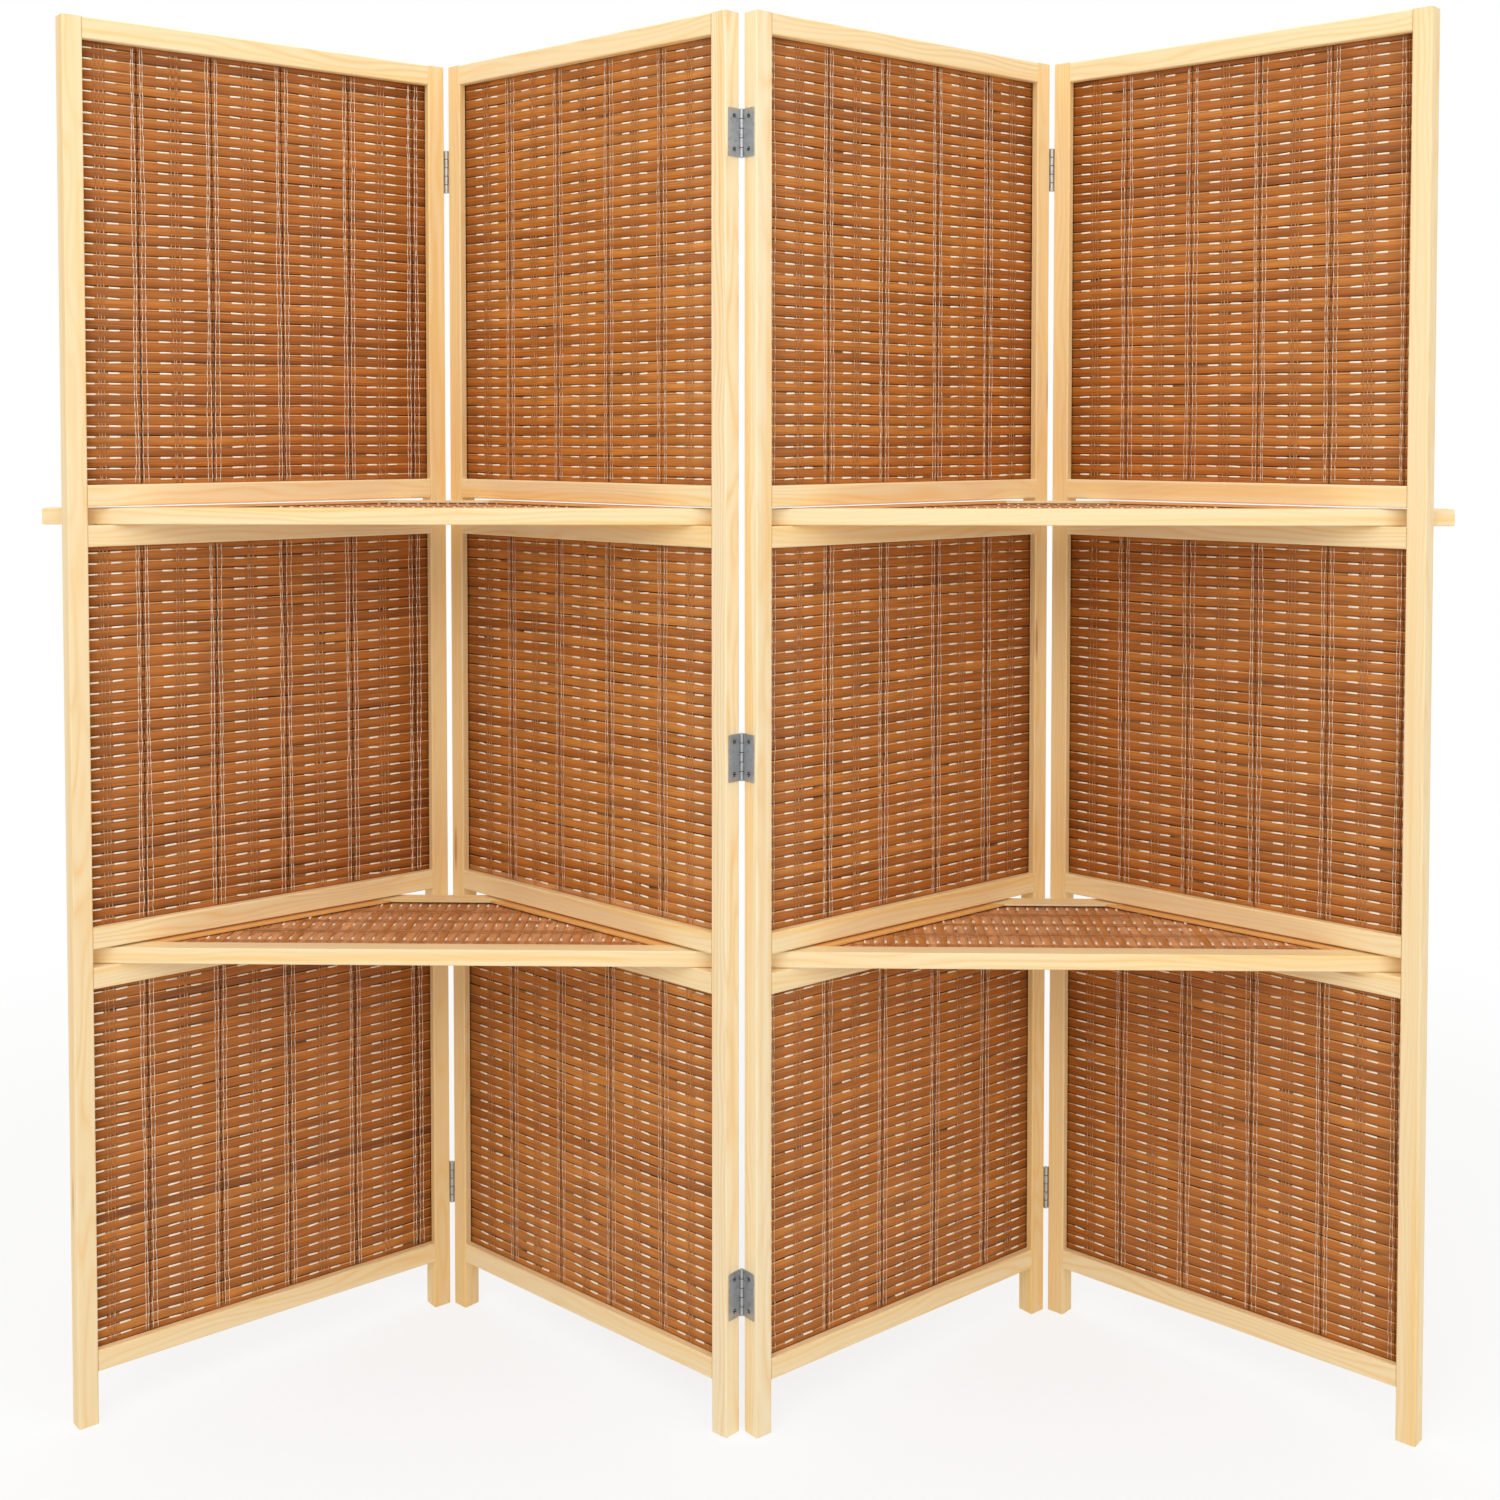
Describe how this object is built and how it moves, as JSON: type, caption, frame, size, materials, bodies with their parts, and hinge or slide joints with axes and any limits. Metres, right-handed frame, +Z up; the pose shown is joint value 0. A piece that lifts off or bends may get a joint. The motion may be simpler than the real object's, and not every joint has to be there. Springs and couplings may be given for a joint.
{
  "type": "folding screen",
  "caption": "Free-standing zigzag folding screen with pine frames, woven bamboo mats, butt hinges and loose shelves resting in slots across the panels.",
  "frame": {"origin": "on the floor, under the middle of the opened screen", "axes": "+X to the right along the screen, +Y to the back, +Z up"},
  "size_m": [1.6946, 0.3432, 1.702],
  "materials": {
    "pine": "clear satin lacquer",
    "bamboo": "stained, matte",
    "steel": "zinc plated"
  },
  "bodies": {
    "panel_1": {"left_post_1": "pine", "right_post_1": "pine", "top_rail_1": "pine", "bottom_rail_1": "pine", "slot_rails_1": "pine", "upper_mat_1": "bamboo", "middle_mat_1": "bamboo", "lower_mat_1": "bamboo", "dowels_1": "pine", "hinge_leaves_1": "steel", "hinge_screws_1": "steel"},
    "panel_2": {"left_post_2": "pine", "right_post_2": "pine", "top_rail_2": "pine", "bottom_rail_2": "pine", "slot_rails_2": "pine", "upper_mat_2": "bamboo", "middle_mat_2": "bamboo", "lower_mat_2": "bamboo", "dowels_2": "pine", "hinge_leaves_2": "steel", "hinge_screws_2": "steel", "left_line_pins": "steel", "middle_line_pins": "steel"},
    "panel_3": {"left_post_3": "pine", "right_post_3": "pine", "top_rail_3": "pine", "bottom_rail_3": "pine", "slot_rails_3": "pine", "upper_mat_3": "bamboo", "middle_mat_3": "bamboo", "lower_mat_3": "bamboo", "dowels_3": "pine", "hinge_leaves_3": "steel", "hinge_screws_3": "steel", "right_line_pins": "steel"},
    "panel_4": {"left_post_4": "pine", "right_post_4": "pine", "top_rail_4": "pine", "bottom_rail_4": "pine", "slot_rails_4": "pine", "upper_mat_4": "bamboo", "middle_mat_4": "bamboo", "lower_mat_4": "bamboo", "dowels_4": "pine", "hinge_leaves_4": "steel", "hinge_screws_4": "steel"},
    "lower_left_shelf": {"lower_left_shelf_front_rail": "pine", "lower_left_shelf_frame": "pine", "lower_left_shelf_mat": "bamboo"},
    "upper_left_shelf": {"upper_left_shelf_front_rail": "pine", "upper_left_shelf_frame": "pine", "upper_left_shelf_mat": "bamboo"},
    "lower_right_shelf": {"lower_right_shelf_front_rail": "pine", "lower_right_shelf_frame": "pine", "lower_right_shelf_mat": "bamboo"},
    "upper_right_shelf": {"upper_right_shelf_front_rail": "pine", "upper_right_shelf_frame": "pine", "upper_right_shelf_mat": "bamboo"}
  },
  "joints": [
    {"name": "left_fold", "type": "hinge", "parent": "panel_2", "child": "panel_1", "pos_m": [-0.41, 0.15426, 0], "axis": [0, 0, 1], "range_deg": [0, 100]},
    {"name": "middle_fold", "type": "hinge", "parent": "panel_2", "child": "panel_3", "pos_m": [0, -0.15426, 0], "axis": [0, 0, 1], "range_deg": [0, 100]},
    {"name": "right_fold", "type": "hinge", "parent": "panel_3", "child": "panel_4", "pos_m": [0.41, 0.15426, 0], "axis": [0, 0, -1], "range_deg": [0, 100]},
    {"name": "lower_left_shelf_out", "type": "slide", "parent": "panel_2", "child": "lower_left_shelf", "axis": [-1, 0, 0], "range_m": [0, 0.8]},
    {"name": "upper_left_shelf_out", "type": "slide", "parent": "panel_2", "child": "upper_left_shelf", "axis": [-1, 0, 0], "range_m": [0, 0.8]},
    {"name": "lower_right_shelf_out", "type": "slide", "parent": "panel_3", "child": "lower_right_shelf", "axis": [1, 0, 0], "range_m": [0, 0.8]},
    {"name": "upper_right_shelf_out", "type": "slide", "parent": "panel_3", "child": "upper_right_shelf", "axis": [1, 0, 0], "range_m": [0, 0.8]}
  ]
}
